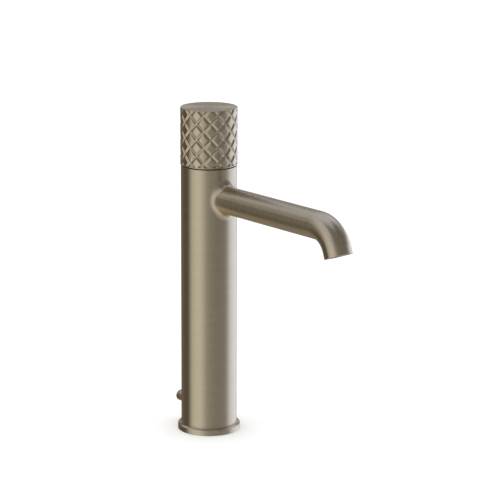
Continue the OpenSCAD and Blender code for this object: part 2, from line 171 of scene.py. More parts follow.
flag_ring = [
    (-180, (0.66, 0.70, 0.82)),
    (-80, pale_ceiling),
    (-40, (0.11, 0.10, 0.085)),
    (118, (0.09, 0.08, 0.065)),
    (138, (0.70, 0.75, 0.88)),
    (180, (0.66, 0.70, 0.82)),
]
ceiling_ring = [(-180, pale_ceiling), (180, pale_ceiling)]
ring_steps = [
    (-42, -28, eye_ring),
    (4, 8, back_ring),
    (11, 15, shade_ring),
    (24, 38, sky_ring),
    (48, 58, flag_ring),
    (70, 80, ceiling_ring),
]


def add_node(tree, kind, inputs=None, **settings):
    """Adds one shader node: its settings are set first, then each input is linked or given its value."""
    made = tree.nodes.new(kind)
    for key, value in settings.items():
        setattr(made, key, value)
    for key, value in (inputs or {}).items():
        if isinstance(value, bpy.types.NodeSocket):
            tree.links.new(value, made.inputs[key])
        else:
            made.inputs[key].default_value = value
    return made


def add_ramp(tree, factor, stops):
    """A straight colour ramp on factor, with stops of (position, colour)."""
    made = add_node(tree, "ShaderNodeValToRGB", {"Fac": factor})
    ramp = made.color_ramp
    ramp.interpolation = "LINEAR"
    while len(ramp.elements) < len(stops):
        ramp.elements.new(0.5)
    for element, (position, colour) in zip(ramp.elements, stops):
        element.position = position
        element.color = (*colour[:3], 1)
    return made.outputs["Color"]


def studio_world():
    """The room: plain and pale to the camera and to matt surfaces, and panels by direction to shiny ones.

    The direction's bearing from the camera side picks a colour on each ring, and its height above the
    horizon picks the ring.
    """
    world = bpy.data.worlds.new("studio")
    scene.world = world
    world.use_nodes = True
    tree = world.node_tree
    tree.nodes.clear()
    way = add_node(tree, "ShaderNodeTexCoord").outputs["Generated"]
    towards = (-math.sin(camera_azimuth), -math.cos(camera_azimuth), 0)
    rightwards = (math.cos(camera_azimuth), -math.sin(camera_azimuth), 0)
    near, right = [
        add_node(tree, "ShaderNodeVectorMath", {0: way, 1: axis}, operation="DOT_PRODUCT").outputs["Value"]
        for axis in (towards, rightwards)
    ]
    bearing = add_node(tree, "ShaderNodeMath", {0: right, 1: near}, operation="ARCTAN2").outputs[0]
    turn = add_node(
        tree, "ShaderNodeMapRange", {"Value": bearing, "From Min": -math.pi, "From Max": math.pi}
    ).outputs[0]
    height = add_node(tree, "ShaderNodeSeparateXYZ", {0: way}).outputs["Z"]
    rings = [
        add_ramp(tree, turn, [((degrees + 180) / 360, colour) for degrees, colour in ring])
        for ring in [below_ring] + [ring for _, _, ring in ring_steps]
    ]
    seen = rings[0]
    for ring, (lower, upper, _) in zip(rings[1:], ring_steps):
        above = add_node(
            tree,
            "ShaderNodeMapRange",
            {
                "Value": height,
                "From Min": math.sin(math.radians(lower)),
                "From Max": math.sin(math.radians(upper)),
            },
            interpolation_type="SMOOTHSTEP",
        ).outputs[0]
        seen = add_node(
            tree, "ShaderNodeMix", {0: above, 6: seen, 7: ring}, data_type="RGBA"
        ).outputs[2]
    panels = add_node(tree, "ShaderNodeBackground", {"Color": seen, "Strength": 1.0}).outputs[0]
    room = add_node(
        tree, "ShaderNodeBackground", {"Color": (1, 1, 1, 1), "Strength": room_light}
    ).outputs[0]
    shiny = add_node(tree, "ShaderNodeLightPath").outputs["Is Glossy Ray"]
    both = add_node(tree, "ShaderNodeMixShader", {0: shiny, 1: room, 2: panels}).outputs[0]
    add_node(tree, "ShaderNodeOutputWorld", {"Surface": both})


def make_material(name):
    """An empty material with a Principled shader, returned as (material, tree, shader)."""
    material = bpy.data.materials.new(name)
    material.use_nodes = True
    tree = material.node_tree
    tree.nodes.clear()
    shader = add_node(tree, "ShaderNodeBsdfPrincipled")
    add_node(tree, "ShaderNodeOutputMaterial", {"Surface": shader.outputs[0]})
    return material, tree, shader


def floor_material():
    """Matt pale board with a barely visible drift of tone."""
    material, tree, shader = make_material("pale_floor")
    place = add_node(tree, "ShaderNodeTexCoord").outputs["Object"]
    drift = add_node(
        tree, "ShaderNodeTexNoise", {"Vector": place, "Scale": 1.3, "Detail": 2.0}
    ).outputs["Fac"]
    tone = add_node(
        tree, "ShaderNodeMix", {0: drift, 6: floor_colour, 7: floor_shade}, data_type="RGBA"
    ).outputs[2]
    tree.links.new(tone, shader.inputs["Base Color"])
    shader.inputs["Roughness"].default_value = 0.9
    shader.inputs["Specular IOR Level"].default_value = 0.0
    return material


studio_world()
floor_mesh = bpy.data.meshes.new("floor")
floor_corners = [
    (x * floor_half, y * floor_half, -floor_drop)
    for x, y in ((-1, -1), (1, -1), (1, 1), (-1, 1))
]
floor_mesh.from_pydata(floor_corners, [], [(0, 1, 2, 3)])
floor_mesh.materials.append(floor_material())
floor = bpy.data.objects.new("floor", floor_mesh)
scene.collection.objects.link(floor)
floor.visible_glossy = False


# ---- Foot -----------------------------------------------------------------------------------------
# A turned brass disc with a spigot that screws up into the column, nickel plated and satin brushed
# round its axis. The stud, the two hoses and the plug's pull rod come up through holes in its floor.

nickel_tone = (0.60, 0.53, 0.42, 1)
nickel_dark = (0.555, 0.487, 0.382, 1)
satin_roughness = 0.28
satin_stretch = 0.75
brush_lines = 3800


def lines_group():
    """Satin lines left by a belt on a turning piece.

    Map runs once round the piece in X and along it in metres in Y. X becomes a point on a circle, so the
    noise closes on itself, and Y is stretched by Density, so each line is long round the piece and thin
    along it. Fine is the single lines, Broad the slow drift of the belt's pressure.
    """
    tree = bpy.data.node_groups.new("satin_lines", "ShaderNodeTree")
    taken = (("Map", "NodeSocketVector"), ("Density", "NodeSocketFloat"), ("Sweep", "NodeSocketFloat"))
    for name, kind in taken:
        tree.interface.new_socket(name, in_out="INPUT", socket_type=kind)
    for name in ("Fine", "Broad"):
        tree.interface.new_socket(name, in_out="OUTPUT", socket_type="NodeSocketFloat")
    given = add_node(tree, "NodeGroupInput").outputs
    split = add_node(tree, "ShaderNodeSeparateXYZ", {0: given["Map"]}).outputs
    angle = add_node(tree, "ShaderNodeMath", {0: split["X"], 1: math.tau}, operation="MULTIPLY").outputs[0]
    circle = [
        add_node(
            tree,
            "ShaderNodeMath",
            {0: add_node(tree, "ShaderNodeMath", {0: angle}, operation=way).outputs[0], 1: given["Sweep"]},
            operation="MULTIPLY",
        ).outputs[0]
        for way in ("COSINE", "SINE")
    ]
    made = []
    for share, detail in ((1.0, 3.0), (0.06, 2.0)):
        thin = add_node(
            tree, "ShaderNodeMath", {0: given["Density"], 1: share}, operation="MULTIPLY"
        ).outputs[0]
        along = add_node(tree, "ShaderNodeMath", {0: split["Y"], 1: thin}, operation="MULTIPLY").outputs[0]
        point = add_node(
            tree, "ShaderNodeCombineXYZ", {0: circle[0], 1: circle[1], 2: along}
        ).outputs[0]
        made.append(
            add_node(
                tree, "ShaderNodeTexNoise", {"Vector": point, "Scale": 1.0, "Detail": detail}
            ).outputs["Fac"]
        )
    add_node(tree, "NodeGroupOutput", {"Fine": made[0], "Broad": made[1]})
    return tree


def nickel_material(name, density, sweep, roughness, stretch, depth):
    """Satin nickel plate: the lines change its tone, its roughness and its height, and its shine
    stretches across them."""
    material, tree, shader = make_material(name)
    lines = add_node(tree, "ShaderNodeGroup", node_tree=satin_lines)
    uv = add_node(tree, "ShaderNodeUVMap", uv_map="lines").outputs[0]
    tree.links.new(uv, lines.inputs["Map"])
    lines.inputs["Density"].default_value = density
    lines.inputs["Sweep"].default_value = sweep
    blend = add_node(
        tree,
        "ShaderNodeMath",
        {0: lines.outputs["Fine"], 1: 0.7, 2: lines.outputs["Broad"]},
        operation="MULTIPLY_ADD",
    ).outputs[0]
    shade = add_node(
        tree, "ShaderNodeMapRange", {"Value": blend, "From Min": 0.45, "From Max": 1.25}
    ).outputs[0]
    tone = add_node(
        tree, "ShaderNodeMix", {0: shade, 6: nickel_dark, 7: nickel_tone}, data_type="RGBA"
    ).outputs[2]
    rough = add_node(
        tree,
        "ShaderNodeMapRange",
        {
            "Value": lines.outputs["Fine"],
            "From Min": 0.3,
            "From Max": 0.7,
            "To Min": roughness - 0.03,
            "To Max": roughness + 0.03,
        },
    ).outputs[0]
    bump = add_node(
        tree,
        "ShaderNodeBump",
        {"Height": lines.outputs["Fine"], "Strength": 0.16, "Distance": depth},
    ).outputs[0]
    tangent = add_node(tree, "ShaderNodeTangent", direction_type="UV_MAP", uv_map="lines").outputs[0]
    for socket, value in (("Base Color", tone), ("Roughness", rough), ("Normal", bump), ("Tangent", tangent)):
        tree.links.new(value, shader.inputs[socket])
    shader.inputs["Metallic"].default_value = 1.0
    shader.inputs["Anisotropic"].default_value = stretch
    shader.inputs["Anisotropic Rotation"].default_value = 0.25
    return material


satin_lines = lines_group()
tube_nickel = nickel_material("nickel_tube", brush_lines, 1.2, satin_roughness, satin_stretch, 0.004 * mm)


def finish_piece(name, mesh, material, body, replaced):
    """Puts a finished mesh into the scene at the origin, on its body, in place of its CAD nodes."""
    mesh.materials.clear()
    mesh.materials.append(material)
    piece = bpy.data.objects.new(name, mesh)
    scene.collection.objects.link(piece)
    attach(piece, body)
    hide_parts(*replaced)
    return piece


def smooth_mesh(mesh, sharp_deg):
    """Smooth shading with a crease where two faces meet at more than sharp_deg."""
    mesh.shade_smooth()
    mesh.set_sharp_from_angle(angle=math.radians(sharp_deg))
    mesh.update()


def merged_copy(node, name, centre, axis, sharp_deg=30):
    """A copy of a CAD node with its triangles joined, and its lines map wound round an axis: the angle
    round the axis over a full turn, and the place along it less the distance from it."""
    mesh = nodes[node].data.copy()
    mesh.name = name
    bm = bmesh.new()
    bm.from_mesh(mesh)
    bmesh.ops.remove_doubles(bm, verts=bm.verts, dist=0.001 * mm)
    bmesh.ops.dissolve_limit(bm, angle_limit=math.radians(0.5), verts=bm.verts, edges=bm.edges)
    bmesh.ops.triangulate(bm, faces=bm.faces)
    bm.to_mesh(mesh)
    bm.free()
    co = np.zeros(len(mesh.vertices) * 3)
    mesh.vertices.foreach_get("co", co)
    corner = np.zeros(len(mesh.loops), int)
    mesh.loops.foreach_get("vertex_index", corner)
    axis = np.array(axis, float) / np.linalg.norm(axis)
    side = np.cross(axis, (1, 0, 0) if abs(axis[0]) < 0.5 else (0, 1, 0))
    side /= np.linalg.norm(side)
    other = np.cross(axis, side)
    away = co.reshape(-1, 3)[corner].reshape(-1, 3, 3) - np.array(centre)
    middle = away.mean(axis=1, keepdims=True)
    base = np.arctan2(middle @ other, middle @ side)
    step = np.arctan2(away @ other, away @ side) - base
    around = (base + np.arctan2(np.sin(step), np.cos(step))) / math.tau
    height = away @ axis
    spread = np.linalg.norm(away - height[..., None] * axis, axis=-1)
    uv = np.stack([around, height - spread], axis=-1)
    for layer in list(mesh.uv_layers):
        mesh.uv_layers.remove(layer)
    mesh.uv_layers.new(name="lines").data.foreach_set("uv", uv.ravel())
    smooth_mesh(mesh, sharp_deg)
    return mesh


foot_mesh = merged_copy("foot", "foot_body", (0, 0, 0), (0, 0, 1))
finish_piece("foot_body", foot_mesh, tube_nickel, "column_assembly", ["foot"])


# ---- Column ---------------------------------------------------------------------------------------
# A drawn brass tube, bored wider at the top for the valve, nickel plated and satin brushed round its
# axis. The spout goes in through its front, and a slot with round ends in its back guides the knob.

column_low, column_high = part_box("column")
column_r = column_high.x
column_bottom = column_low.z
column_top = column_high.z
body_low, body_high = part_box("valve_body")
body_fit = 0.05 * mm
seat_r = body_high.x + body_fit
seat_step = 1 * mm
bore_r = seat_r - seat_step
rim_round = 0.3 * mm
rim_height = 0.7 * mm
slot_break = 0.15 * mm
neck_low, neck_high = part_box("knob_neck")
slot_gap = 0.5 * mm
slot_half = (neck_high.x - neck_low.x) / 2 + slot_gap
slot_low = (neck_low.z + neck_high.z) / 2 - slot_half
lift_travel = [j for j in frame["joints"] if j["name"] == "waste_lift"][0]["range_m"][1]
slot_high = slot_low + 2 * slot_half + lift_travel
column_columns = 192
window_columns = 16
window_rows = 24
window_half = math.pi * window_columns / column_columns
window_margin = 10 * mm
window_top = slot_high + window_margin


def grid_quads(rows, columns):
    """Corner numbers of the quads between the points of a grid, counted row by row."""
    i, j = np.meshgrid(np.arange(rows - 1), np.arange(columns - 1), indexing="ij")
    first = (i * columns + j).ravel()
    return np.stack([first, first + 1, first + columns + 1, first + columns], axis=1)


def grid_patch(points, around, along):
    """A grid of points with its lines map, as (points, map, quads)."""
    points, around, along = np.broadcast_arrays(points, around[..., None], along[..., None])
    places = np.stack([around[..., 0], along[..., 0]], axis=-1)
    return points.reshape(-1, 3), places.reshape(-1, 2), grid_quads(*points.shape[:2])


def join_patches(name, patches, sharp_deg=30):
    """Sews patches into one closed mesh: points that coincide are merged, collapsed faces go, and the
    faces are turned outwards."""
    points = np.concatenate([patch[0] for patch in patches])
    places = np.concatenate([patch[1] for patch in patches])
    starts = np.cumsum([0] + [len(patch[0]) for patch in patches])
    faces = []
    for patch, start in zip(patches, starts):
        faces += [[int(number + start) for number in face] for face in patch[2]]
    mesh = bpy.data.meshes.new(name)
    mesh.from_pydata(points.tolist(), [], faces)
    corner = np.zeros(len(mesh.loops), int)
    mesh.loops.foreach_get("vertex_index", corner)
    mesh.uv_layers.new(name="lines").data.foreach_set("uv", places[corner].ravel())
    bm = bmesh.new()
    bm.from_mesh(mesh)
    bmesh.ops.remove_doubles(bm, verts=bm.verts, dist=0.002 * mm)
    bmesh.ops.dissolve_degenerate(bm, edges=bm.edges, dist=0.0005 * mm)
    bmesh.ops.recalc_face_normals(bm, faces=bm.faces)
    bm.to_mesh(mesh)
    bm.free()
    smooth_mesh(mesh, sharp_deg)
    return mesh


def rounded(corners, steps=5):
    """An outline through (across, along, radius) corners, each turned by an arc of its radius.

    The arc touches both sides at radius / tan(half the corner's angle) from the corner, and its centre
    lies on the corner's bisector at radius / sin(half the angle).
    """
    spots = np.array([corner[:2] for corner in corners], float)
    outline = []
    for i, (x, y, radius) in enumerate(corners):
        here = spots[i]
        if radius == 0 or i in (0, len(corners) - 1):
            outline.append(here[None])
            continue
        back = (spots[i - 1] - here) / np.linalg.norm(spots[i - 1] - here)
        ahead = (spots[i + 1] - here) / np.linalg.norm(spots[i + 1] - here)
        half = math.acos(np.clip(back @ ahead, -1, 1)) / 2
        centre = here + (back + ahead) / np.linalg.norm(back + ahead) * radius / math.sin(half)
        start = here + back * radius / math.tan(half) - centre
        end = here + ahead * radius / math.tan(half) - centre
        t = np.linspace(0, 1, steps + 1)[:, None]
        full = math.pi - 2 * half
        outline.append(centre + (np.sin((1 - t) * full) * start + np.sin(t * full) * end) / math.sin(full))
    return np.concatenate(outline)


def turned_patch(outline, angles):
    """An outline of (distance from Z, height) carried round the Z axis through angles from +Y."""
    r, z = outline[:, 0, None], outline[:, 1, None]
    turn = np.asarray(angles)[None, :]
    points = np.stack([r * np.sin(turn), r * np.cos(turn), z + 0 * turn], axis=-1)
    steps = np.linalg.norm(np.diff(outline, axis=0), axis=1)
    along = np.concatenate([[0], np.cumsum(steps)])[:, None] + 0 * turn
    return grid_patch(points, turn / math.tau + 0 * r, along)


def slot_outline(grown):
    """The slot's outline as (across, height), grown on all sides: a half circle below, a straight side,
    a half circle above and the other straight side, with as many steps as the window's four sides."""
    radius = slot_half + grown
    low, high = slot_low + slot_half, slot_high - slot_half
    dip = np.pi + np.linspace(0, np.pi, window_columns, endpoint=False)
    rise = np.linspace(low, high, window_rows, endpoint=False)
    x = np.concatenate([radius * np.cos(dip), 0 * rise + radius, -radius * np.cos(dip), 0 * rise - radius])
    z = np.concatenate([low + radius * np.sin(dip), rise, high - radius * np.sin(dip), high + low - rise])
    return np.append(x, x[0]), np.append(z, z[0])


def window_outline():
    """The window round the slot as (angle from +Y, height), in the same steps as the slot's outline."""
    side = np.linspace(-window_half, window_half, window_columns, endpoint=False)
    rise = np.linspace(column_bottom, window_top, window_rows, endpoint=False)
    turn = np.concatenate([side, 0 * rise + window_half, -side, 0 * rise - window_half])
    fall = window_top + column_bottom - rise
    z = np.concatenate([0 * side + column_bottom, rise, 0 * side + window_top, fall])
    return np.append(turn, turn[0]), np.append(z, z[0])


def slot_window(radius, grown):
    """The wall between the slot and the window round it, at one radius: angle and height both go evenly
    from one outline to the other."""
    x, z = slot_outline(grown)
    turn, height = window_outline()
    t = np.linspace(0, 1, 9)[:, None]
    angle = (1 - t) * np.arcsin(x / radius) + t * turn
    level = (1 - t) * z + t * height
    points = np.stack([radius * np.sin(angle), radius * np.cos(angle), level], axis=-1)
    return grid_patch(points, angle / math.tau, level)


def slot_wall(levels):
    """The slot's own wall, through (radius, grown) levels from the outside in."""
    rows = []
    for radius, grown in levels:
        x, z = slot_outline(grown)
        rows.append(np.stack([x, np.sqrt(radius**2 - x**2), z], axis=-1))
    points = np.stack(rows)
    depth = np.linspace(0, 3 * mm, len(levels))[:, None] + 0 * points[0, :, 0]
    return grid_patch(points, 0 * depth + np.linspace(0, 1, points.shape[1]), depth)


def upright(radius, heights, angles):
    """A straight stretch of the column's wall, with its lines map in true height."""
    turn, z = np.meshgrid(angles, heights)
    points = np.stack([radius * np.sin(turn), radius * np.cos(turn), z], axis=-1)
    return grid_patch(points, turn / math.tau, z)


full_turn = np.linspace(-window_half, math.tau - window_half, column_columns + 1)
rest_turn = full_turn[window_columns:]
window_turn = full_turn[: window_columns + 1]
window_heights = np.linspace(column_bottom, window_top, window_rows + 1)
wall_top = column_top - rim_height
column_mesh = join_patches(
    "column_tube",
    [
        upright(column_r, window_heights, rest_turn),
        upright(column_r, np.linspace(window_top, wall_top, 9), full_turn),
        slot_window(column_r, slot_break),
        slot_wall([
            (column_r, slot_break),
            (column_r - slot_break, 0),
            (bore_r + seat_step, 0),
            (bore_r, 0),
        ]),
        slot_window(bore_r, 0),
        upright(bore_r, window_heights, rest_turn),
        turned_patch(
            rounded([
                (column_r, wall_top, 0),
                (column_r, column_top, rim_round),
                (seat_r, column_top, rim_round),
                (seat_r, body_low.z, 0),
                (bore_r, body_low.z, 0),
                (bore_r, window_top, 0),
            ]),
            full_turn,
        ),
        turned_patch(np.array([(bore_r, column_bottom), (column_r, column_bottom)]), full_turn),
    ],
)
finish_piece("column_tube", column_mesh, tube_nickel, "column_assembly", ["column"])


# ---- Spout ----------------------------------------------------------------------------------------
# A drawn tube, level and then bent down, whose end is cut square. It is let into the column's front and
# joined to it by a filled and blended root, then plated and satin brushed round its own line.

spout_low, spout_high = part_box("spout_tube")
spout_r = spout_high.x
spout_z = spout_high.z - spout_r
spout_wall = 1.8 * mm
spout_bore_r = spout_r - spout_wall
bend_r = 20.5 * mm
bend_angle = math.radians(69)
spout_tip = 5 * mm
mouth_step = 0.2 * mm
mouth_seat_r = spout_bore_r + mouth_step
mouth_depth = 5 * mm
mouth_edge = 0.5 * mm
station_gap = 0.3 * mm
tip_reach = bend_r * math.sin(bend_angle) + spout_tip * math.cos(bend_angle)
level_end = -spout_low.y - tip_reach - spout_r * math.sin(bend_angle)
bend_end = level_end + bend_r * bend_angle
mouth_end = bend_end + spout_tip
spout_columns = 128


def spout_place(s):
    """The centreline at distance s from the column's axis, and its slope below level: straight, then an
    arc of bend_r through bend_angle, then straight again."""
    slope = np.clip((s - level_end) / bend_r, 0, bend_angle)
    flat = np.minimum(s, level_end)
    past = np.maximum(s - bend_end, 0)
    y = -flat - bend_r * np.sin(slope) - past * np.cos(slope)
    z = spout_z - bend_r * (1 - np.cos(slope)) - past * np.sin(slope)
    return y, z, slope


def spout_skin(outline):
    """An outline of (distance from the centreline, place along it) carried round the spout. The turn
    starts at the spout's underside."""
    r, s = outline[:, 0, None], outline[:, 1, None]
    y, z, slope = spout_place(s)
    turn = np.linspace(-np.pi / 2, 3 * np.pi / 2, spout_columns + 1)[None, :]
    points = np.stack(
        [
            r * np.cos(turn),
            y - r * np.sin(turn) * np.sin(slope),
            z + r * np.sin(turn) * np.cos(slope),
        ],
        axis=-1,
    )
    return grid_patch(points, turn / math.tau + 0 * r, s + 0 * turn)


def stations(start, end):
    """Places along the spout from start to end, close together in the bend and far apart elsewhere."""
    marks = np.concatenate([
        np.linspace(0, level_end, 13),
        np.linspace(level_end, bend_end, 61),
        np.linspace(bend_end, mouth_end, 4),
    ])
    inside = marks[(marks > start + station_gap) & (marks < end - station_gap)]
    return np.concatenate([[start], inside, [end]])


spout_start = seat_r
outer_stations = stations(spout_start, mouth_end - mouth_edge)
inner_stations = stations(spout_start, mouth_end - mouth_depth)[::-1]
mouth_outline = rounded([
    (spout_r, mouth_end - mouth_edge, 0),
    (spout_r, mouth_end, 0.3 * mm),
    (mouth_seat_r, mouth_end, 0.2 * mm),
    (mouth_seat_r, mouth_end - mouth_depth, 0),
    (spout_bore_r, mouth_end - mouth_depth, 0),
])
spout_mesh = join_patches(
    "spout_body",
    [
        spout_skin(np.stack([0 * outer_stations + spout_r, outer_stations], axis=1)),
        spout_skin(mouth_outline),
        spout_skin(np.stack([0 * inner_stations + spout_bore_r, inner_stations], axis=1)),
        spout_skin(np.array([(spout_bore_r, spout_start), (spout_r, spout_start)])),
    ],
)
spout_nickel = nickel_material("nickel_spout", brush_lines, 0.6, satin_roughness, satin_stretch, 0.004 * mm)
finish_piece("spout_body", spout_mesh, spout_nickel, "column_assembly", ["spout_tube"])

root_r = 6 * mm
root_columns = 192
root_rows = 20
root_sink = 0.02 * mm


def root_fillet():
    """The root's blend, as a ball of root_r would leave it, rolling round the spout against the column.

    At angle a round the spout, the ball's centre is spout_r + root_r from the spout's line and
    column_r + root_r from the column's axis, and the blend is the arc between its two touching points.
    A thin strip under the arc closes the piece where the spout meets the column.
    """
    a = np.linspace(0, math.tau, root_columns + 1)[None, :, None]
    reach = spout_r + root_r
    out = np.sqrt((column_r + root_r) ** 2 - (reach * np.cos(a)) ** 2)
    centre = np.concatenate([out, reach * np.cos(a), reach * np.sin(a)], axis=-1)
    share = column_r / (column_r + root_r)
    on_column = centre * np.array([share, share, 1])
    on_spout = np.concatenate([out, spout_r * np.cos(a), spout_r * np.sin(a)], axis=-1)
    u, w = (on_column - centre) / root_r, (on_spout - centre) / root_r
    full = np.arccos(np.sum(u * w, axis=-1, keepdims=True))
    t = np.linspace(0, 1, root_rows + 1)[:, None, None]
    arc = centre + root_r * (np.sin((1 - t) * full) * u + np.sin(t * full) * w) / np.sin(full)
    inner = spout_r - root_sink
    under = np.sqrt((column_r - root_sink) ** 2 - (inner * np.cos(a)) ** 2)
    corner = np.concatenate([under, inner * np.cos(a), inner * np.sin(a)], axis=-1)
    patches = []
    for grid in (arc, np.concatenate([arc[-1:], corner, arc[:1]])):
        points = np.stack([grid[..., 1], -grid[..., 0], grid[..., 2] + spout_z], axis=-1)
        rows = np.linspace(0, root_r, grid.shape[0])[:, None]
        patches.append(grid_patch(points, a[..., 0] / math.tau + 0 * rows, rows + 0 * a[..., 0]))
    return join_patches("root_blend", patches, 40)


finish_piece("root_blend", root_fillet(), spout_nickel, "column_assembly", ["spout_saddle"])


# ---- Aerator --------------------------------------------------------------------------------------
# A plated brass ring in the spout's mouth, with four notches for its key. It carries a moulded plate
# full of small jets, a steel screen above it, and a rubber washer that seals it against its seat.

mouth_y, mouth_z, mouth_slope = (float(v) for v in spout_place(np.array(mouth_end)))
mouth_centre = (0, mouth_y, mouth_z)
mouth_axis = (0, -math.cos(mouth_slope), -math.sin(mouth_slope))
polymer_white = (0.78, 0.78, 0.74, 1)
polymer_shade = (0.70, 0.70, 0.66, 1)


def grain_group():
    """Fine grain and a slow mottle, both from the place in the piece."""
    tree = bpy.data.node_groups.new("fine_grain", "ShaderNodeTree")
    for name, kind in (("Place", "NodeSocketVector"), ("Grain Size", "NodeSocketFloat")):
        tree.interface.new_socket(name, in_out="INPUT", socket_type=kind)
    for name in ("Grain", "Mottle"):
        tree.interface.new_socket(name, in_out="OUTPUT", socket_type="NodeSocketFloat")
    given = add_node(tree, "NodeGroupInput").outputs
    made = []
    for share, detail in ((1.0, 4.0), (12.0, 2.0)):
        size = add_node(
            tree, "ShaderNodeMath", {0: given["Grain Size"], 1: share}, operation="MULTIPLY"
        ).outputs[0]
        scale = add_node(tree, "ShaderNodeMath", {0: 1.0, 1: size}, operation="DIVIDE").outputs[0]
        made.append(
            add_node(
                tree, "ShaderNodeTexNoise", {"Vector": given["Place"], "Scale": scale, "Detail": detail}
            ).outputs["Fac"]
        )
    add_node(tree, "NodeGroupOutput", {"Grain": made[0], "Mottle": made[1]})
    return tree


def grained_material(name, light, dark, roughness, metallic, grain_size, depth):
    """A plain workshop or moulded finish: its mottle shifts the colour, its grain the roughness and the
    height."""
    material, tree, shader = make_material(name)
    grain = add_node(tree, "ShaderNodeGroup", node_tree=fine_grain)
    place = add_node(tree, "ShaderNodeTexCoord").outputs["Object"]
    tree.links.new(place, grain.inputs["Place"])
    grain.inputs["Grain Size"].default_value = grain_size
    tone = add_node(
        tree, "ShaderNodeMix", {0: grain.outputs["Mottle"], 6: dark, 7: light}, data_type="RGBA"
    ).outputs[2]
    rough = add_node(
        tree,
        "ShaderNodeMapRange",
        {"Value": grain.outputs["Grain"], "To Min": roughness - 0.06, "To Max": roughness + 0.06},
    ).outputs[0]
    bump = add_node(
        tree, "ShaderNodeBump", {"Height": grain.outputs["Grain"], "Strength": 0.4, "Distance": depth}
    ).outputs[0]
    for socket, value in (("Base Color", tone), ("Roughness", rough), ("Normal", bump)):
        tree.links.new(value, shader.inputs[socket])
    shader.inputs["Metallic"].default_value = metallic
    return material


def paint_nodes(material, names):
    """Gives CAD nodes that keep their own shape their material."""
    for name in names:
        nodes[name].data.materials.clear()
        nodes[name].data.materials.append(material)


fine_grain = grain_group()
moulded_polymer = grained_material(
    "moulded_polymer", polymer_white, polymer_shade, 0.42, 0.0, 0.25 * mm, 0.01 * mm
)
screen_steel = grained_material(
    "stainless_steel", (0.62, 0.62, 0.61, 1), (0.52, 0.52, 0.52, 1), 0.3, 1.0, 0.2 * mm, 0.004 * mm
)
black_rubber = grained_material(
    "black_rubber", (0.035, 0.035, 0.036, 1), (0.02, 0.02, 0.02, 1), 0.62, 0.0, 0.2 * mm, 0.02 * mm
)
ring_mesh = merged_copy("aerator_housing", "aerator_ring", mouth_centre, mouth_axis)
finish_piece("aerator_ring", ring_mesh, spout_nickel, "column_assembly", ["aerator_housing"])
jet_mesh = merged_copy("aerator_insert", "aerator_jets", mouth_centre, mouth_axis)
finish_piece("aerator_jets", jet_mesh, moulded_polymer, "column_assembly", ["aerator_insert"])
paint_nodes(screen_steel, ["aerator_screen"])
paint_nodes(black_rubber, ["aerator_seal"])


# ---- Valve ----------------------------------------------------------------------------------------
# A brass body, turned and drilled, pressed down into the column by a lock ring. It takes the hoses from
# below and the cartridge from above, and the cartridge's nut screws onto its collar.

raw_brass = grained_material(
    "machined_brass", (0.78, 0.60, 0.30, 1), (0.66, 0.49, 0.23, 1), 0.30, 1.0, 0.3 * mm, 0.004 * mm
)
alumina = grained_material(
    "lapped_ceramic", (0.90, 0.89, 0.85, 1), (0.86, 0.85, 0.80, 1), 0.18, 0.0, 0.3 * mm, 0.002 * mm
)
paint_nodes(raw_brass, ["valve_body", "lock_ring", "cartridge_nut"])
paint_nodes(
    black_rubber, ["deck_gasket", "foot_o_ring", "body_o_rings", "port_seals", "stem_o_ring"]
)


# ---- Cartridge ------------------------------------------------------------------------------------
# A progressive cartridge: two lapped ceramic discs in a moulded shell, the upper one turned by a brass
# spindle through a moulded carrier. One turn opens the water and then warms it.

paint_nodes(moulded_polymer, ["cartridge_base", "cartridge_housing", "stop_ring", "disc_carrier"])
paint_nodes(alumina, ["fixed_disc", "moving_disc"])
paint_nodes(screen_steel, ["thrust_washer", "insert_screw", "handle_grub_screw"])
paint_nodes(raw_brass, ["spindle", "handle_insert"])


# ---- Handle ---------------------------------------------------------------------------------------
# A turned brass cup with a diamond pattern cut into its side by a pointed cutter, in two crossing
# sets of slanting grooves. Its top is faced flat, and a screw fixes it at the back.

handle_low, handle_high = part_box("handle")
handle_r = handle_high.x
handle_bottom = handle_low.z
handle_top = handle_high.z
handle_wall = 2.8 * mm
handle_roof = 5 * mm
handle_in_r = handle_r - handle_wall
handle_ceiling = handle_top - handle_roof
cup_round = 0.3 * mm
rim_break = 0.2 * mm
diamonds_round = 12
diamond_h = 11.35 * mm
diamond_w = math.tau * handle_r / diamonds_round
crossing_turn = math.radians(19)
crossing_z = 221.13 * mm
cut_low = handle_bottom + 0.7 * mm
cut_high = handle_top - 0.25 * mm
cut_half = 1.40 * mm
cut_depth = 0.85 * mm
cut_point = 0.30 * mm
edge_break = 0.07 * mm
edge_width = 0.20 * mm
cut_cells = 30
edge_cell = 7
calm_rows = 0.8 * mm
screw_low, screw_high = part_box("handle_grub_screw")
screw_z = (screw_low.z + screw_high.z) / 2
screw_hole_r = screw_high.x + 0.05 * mm
screw_hole_depth = 2.72 * mm
screw_hole_break = 0.25 * mm
floor_ring = 6
wall_ring = 7
brim_ring = 8
last_ring = 20
slant = 1 / math.hypot(1 / diamond_w, 1 / diamond_h)


def to_edge(across):
    """Moves grid lines onto the groove's edge: the cell edge_cell lands on it and the next one on the
    outside of its broken edge, and the other cells share what is left on each side evenly."""
    whole = np.round(across)
    part = across - whole
    marks = [0, edge_cell / cut_cells, (edge_cell + 1) / cut_cells, 0.5]
    lands = [0, cut_half / slant, (cut_half + edge_width) / slant, 0.5]
    return whole + np.sign(part) * np.interp(np.abs(part), marks, lands)


def cut_into(across):
    """The depth that one set of grooves cuts: two slopes that meet in a rounded point, and a broken edge
    just outside them."""
    away = np.abs(across - np.round(across)) * slant
    slope = np.hypot(away, cut_point) - cut_point
    full = math.hypot(cut_half, cut_point) - cut_point
    groove = edge_break + cut_depth * (1 - slope / full)
    brim = edge_break * np.clip((cut_half + edge_width - away) / edge_width, 0, 1)
    return np.where(away <= cut_half, groove, brim)


